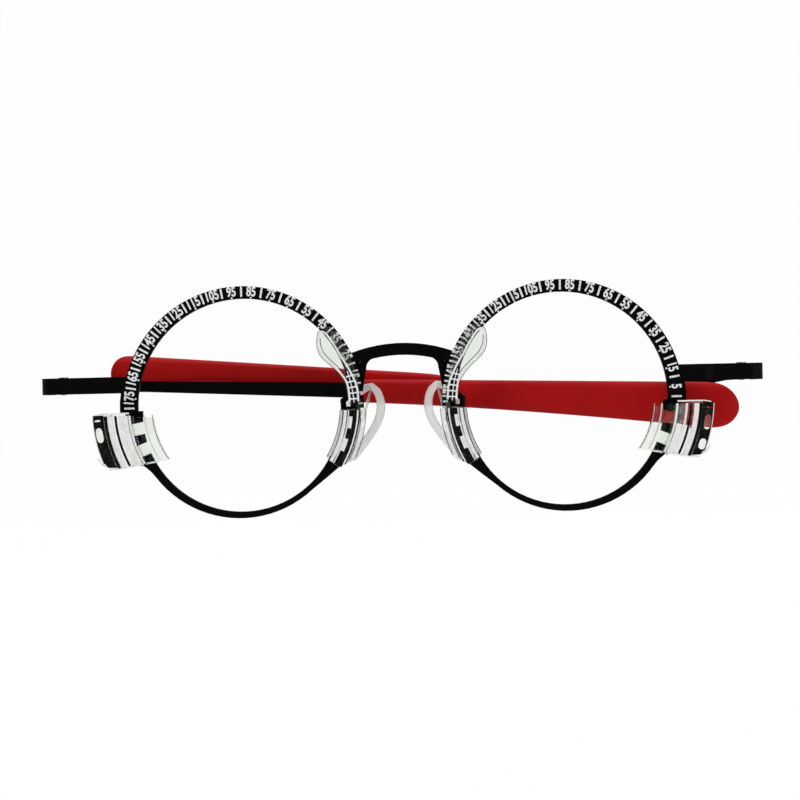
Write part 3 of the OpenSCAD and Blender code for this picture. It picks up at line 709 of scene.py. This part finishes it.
def rim_lines(side):
    lines = []
    for run, width, depth in RIM_HIGHLIGHTS:
        spots = [place(SIDES[side] * (LENS_X + x), depth - LINE_H / 4, z) for x, z in run]
        lines.append(bead(spots, width, LINE_H))
    join(lines)
    piece = keep("holder_rim_highlights_" + side, crest_highlight, 60)
    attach(piece, "front")


# Spring fingers: lines of painted highlight and painted shade along the leaf's rim and the ladder of its
# foot, in radii and turns up from the nasal side
LEAF_TOP, LEAF_FOOT, LEAF_REACH, RIB_R, FINGER_OUT = 42.0, 10.0, 2.1, 17.8, 20.02
# the leaf is widest above its middle, and full
LEAF_HIGH, LEAF_FULL = 1.7, 0.85
# the back crest draws in by this much from one turn to another
BACK_IN, BACK_FROM, BACK_TO = 1.0, 9, 25
TIP_TURN = 3.4
RUNG_STEP = 2 * LEAF_FOOT / 7
RUNG_ENDS = (18.35, 19.75)
HIGHLIGHT_PROUD, SHADE_PROUD, LADDER_PROUD = 0.27, 0.02, 0.1


def leaf_edge(turn):
    """Radius of the leaf's edge over the lens."""
    share = max(0, turn - LEAF_FOOT) / (LEAF_TOP - LEAF_FOOT)
    return RIB_R + 0.2 - LEAF_REACH * max(0, math.sin(math.pi * share ** LEAF_HIGH)) ** LEAF_FULL


def leaf_back(turn):
    """Radius of the finger's crest beside the ring, which draws in towards the leaf's top."""
    return FINGER_OUT - BACK_IN * min(1, max(0, turn - BACK_FROM) / (BACK_TO - BACK_FROM))


def leaf_line(inset, foot=1.5, back=1.5):
    """Up the leaf's edge from foot, round its tip and down its back, drawn in by inset."""
    top = LEAF_TOP - inset * 2
    edge_top = top - 0.05
    line = []
    for i in range(23):
        turn = foot + (edge_top - foot) * i / 22
        line.append((leaf_edge(turn) + inset, turn))
    for i in range(1, 6):
        a = math.radians(18 * i)
        across = math.sin(a)
        radius = (leaf_edge(edge_top) + inset) * (1 - across) + (leaf_back(top) - inset) * across
        line.append((radius, top - TIP_TURN * (1 - math.cos(a))))
    for i in range(1, 13):
        turn = top - TIP_TURN + (back - top + TIP_TURN) * i / 12
        line.append((leaf_back(turn) - inset, turn))
    return line


def finger_lines(side, rows, name, material):
    lines = []
    for line, width, proud in rows:
        spots = []
        for radius, turn in line:
            x, z = round_lens(SIDES[side], radius, 180 - turn)
            spots.append(place(x, HOLDER_FRONT - proud, z))
        lines.append(bead(spots, width, LINE_H))
    join(lines)
    piece = keep(name + side, material, 60)
    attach(piece, "spring_" + side)


rungs = [[(radius, RUNG_STEP * i) for radius in RUNG_ENDS] for i in range(1, 6)]
ladder_middle = [(19.0 - 0.012 * turn, turn) for turn in range(1, 18)]
ladder_shade = [(19.08 - 0.004 * turn, turn) for turn in range(0, 19)]
# painted highlights: white lines along the leaf's rim, the ladder's middle and its rungs
finger_highlights = [(leaf_line(0.3), 0.32, HIGHLIGHT_PROUD), (ladder_middle, 0.16, HIGHLIGHT_PROUD)]
finger_highlights += [(rung, 0.24, HIGHLIGHT_PROUD) for rung in rungs]
# painted shade: dark lines along the leaf's edges and a dark ground behind the ladder
finger_shade_lines = [(leaf_line(-0.02, 9, 24), 0.1, SHADE_PROUD), (leaf_line(0.72)[6:22], 0.12, SHADE_PROUD),
                (ladder_shade, 1.25, LADDER_PROUD)]
for side in SIDES:
    # white lines of painted highlight along the holders' crests and in their notches
    holder_lines(side, CREST_HIGHLIGHTS, "holder_crest_highlights_", crest_highlight, NOTCH_LIGHTS)
    # dark lines of painted shade along the holders' steps
    holder_lines(side, STEP_SHADES, "holder_step_shades_", painted_shade)
    # white lines of painted highlight along the holders' rims
    rim_lines(side)
    finger_lines(side, finger_highlights, "finger_highlights_", crest_highlight)
    finger_lines(side, finger_shade_lines, "finger_shade_lines_", painted_shade)


# White floor and backdrop, which also show white through clear plastic and in gloss. The room's
# places and sizes are in metres
PAPER_GLOW = 0.97
FLOOR_SIZE, FLOOR_Z = 3, -0.0002
BACKDROP_SIZE, BACKDROP_Y = 0.5, 0.6


def studio_white():
    material = bpy.data.materials.new("studio_white")
    material.use_nodes = True
    tree = material.node_tree
    tree.nodes.clear()
    path = add(tree, "ShaderNodeLightPath").outputs
    seen = add(tree, "ShaderNodeMath", {0: path["Is Camera Ray"], 1: path["Is Transmission Ray"]},
               operation="MAXIMUM")
    seen = add(tree, "ShaderNodeMath", {0: seen.outputs[0], 1: path["Is Glossy Ray"]}, operation="MAXIMUM")
    share = add(tree, "ShaderNodeMath", {0: seen.outputs[0], 1: PAPER_GLOW}, operation="MULTIPLY")
    paper = add(tree, "ShaderNodeBsdfDiffuse", {"Color": linear("#f4f4f4")})
    glow = add(tree, "ShaderNodeEmission", {"Color": (1, 1, 1, 1), "Strength": 1.0})
    mix = add(tree, "ShaderNodeMixShader", {0: share.outputs[0], 1: paper.outputs[0], 2: glow.outputs[0]})
    add(tree, "ShaderNodeOutputMaterial", {"Surface": mix.outputs[0]})
    return material


white = studio_white()
start_clean()
bpy.ops.mesh.primitive_plane_add(size=FLOOR_SIZE, location=(0, 0, FLOOR_Z))
floor = keep("floor", white)
start_clean()
bpy.ops.mesh.primitive_plane_add(size=BACKDROP_SIZE, location=(0, BACKDROP_Y, 0),
                                 rotation=(math.radians(90), 0, 0))
backdrop = keep("backdrop", white)

# Soft studio light. The camera sees the room as white. Through the clear pieces it is a little
# greyer, which draws their edges, and as light it is dim
world = bpy.data.worlds.new("studio")
bpy.context.scene.world = world
world.use_nodes = True
room = world.node_tree
room.nodes.clear()
path = add(room, "ShaderNodeLightPath").outputs
dim = add(room, "ShaderNodeBackground", {"Color": linear("#c9ced2"), "Strength": 0.09})
through = add(room, "ShaderNodeBackground", {"Color": linear("#eef1ef"), "Strength": 0.72})
bright = add(room, "ShaderNodeBackground", {"Color": (1, 1, 1, 1), "Strength": 1.0})
clear = add(room, "ShaderNodeMixShader",
            {0: path["Is Transmission Ray"], 1: dim.outputs[0], 2: through.outputs[0]})
shown = add(room, "ShaderNodeMixShader",
            {0: path["Is Camera Ray"], 1: clear.outputs[0], 2: bright.outputs[0]})
add(room, "ShaderNodeOutputWorld", {"Surface": shown.outputs[0]})

LIT_SPOT = Vector((0, 0, 0.02))


def lamp(name, spot, size, power):
    start_clean()
    bpy.ops.object.light_add(type="AREA", location=spot)
    light = bpy.context.object
    light.name = name
    light.data.shape = "RECTANGLE"
    light.data.size, light.data.size_y = size
    light.data.energy = power
    light.rotation_euler = (LIT_SPOT - Vector(spot)).to_track_quat("-Z", "Y").to_euler()


lamp("key", (-0.25, -0.45, 0.5), (0.35, 0.25), 2.1)
lamp("fill", (0.5, -0.35, 0.2), (0.3, 0.4), 1.0)
lamp("top", (0.05, 0.1, 0.6), (0.6, 0.3), 2.2)

# Camera straight in front, turned a little about its own line of sight. Its distance and its
# sensor are in millimetres
DISTANCE = 400.0
PIXELS_PER_MM, IMAGE_W, SENSOR_W = 6.0, 800, 36
ROLL = math.radians(1.3)
start_clean()
bpy.ops.object.camera_add()
camera = bpy.context.object
camera.data.lens = SENSOR_W * PIXELS_PER_MM * DISTANCE / IMAGE_W
camera.data.clip_start = 0.01
camera.data.clip_end = 10
camera.location = place(-0.5, 0, 0.57) - Vector((0, DISTANCE * MM, 0))
camera.rotation_euler = (math.radians(90), ROLL, 0)
bpy.context.scene.camera = camera

bpy.context.scene.view_settings.view_transform = "Standard"
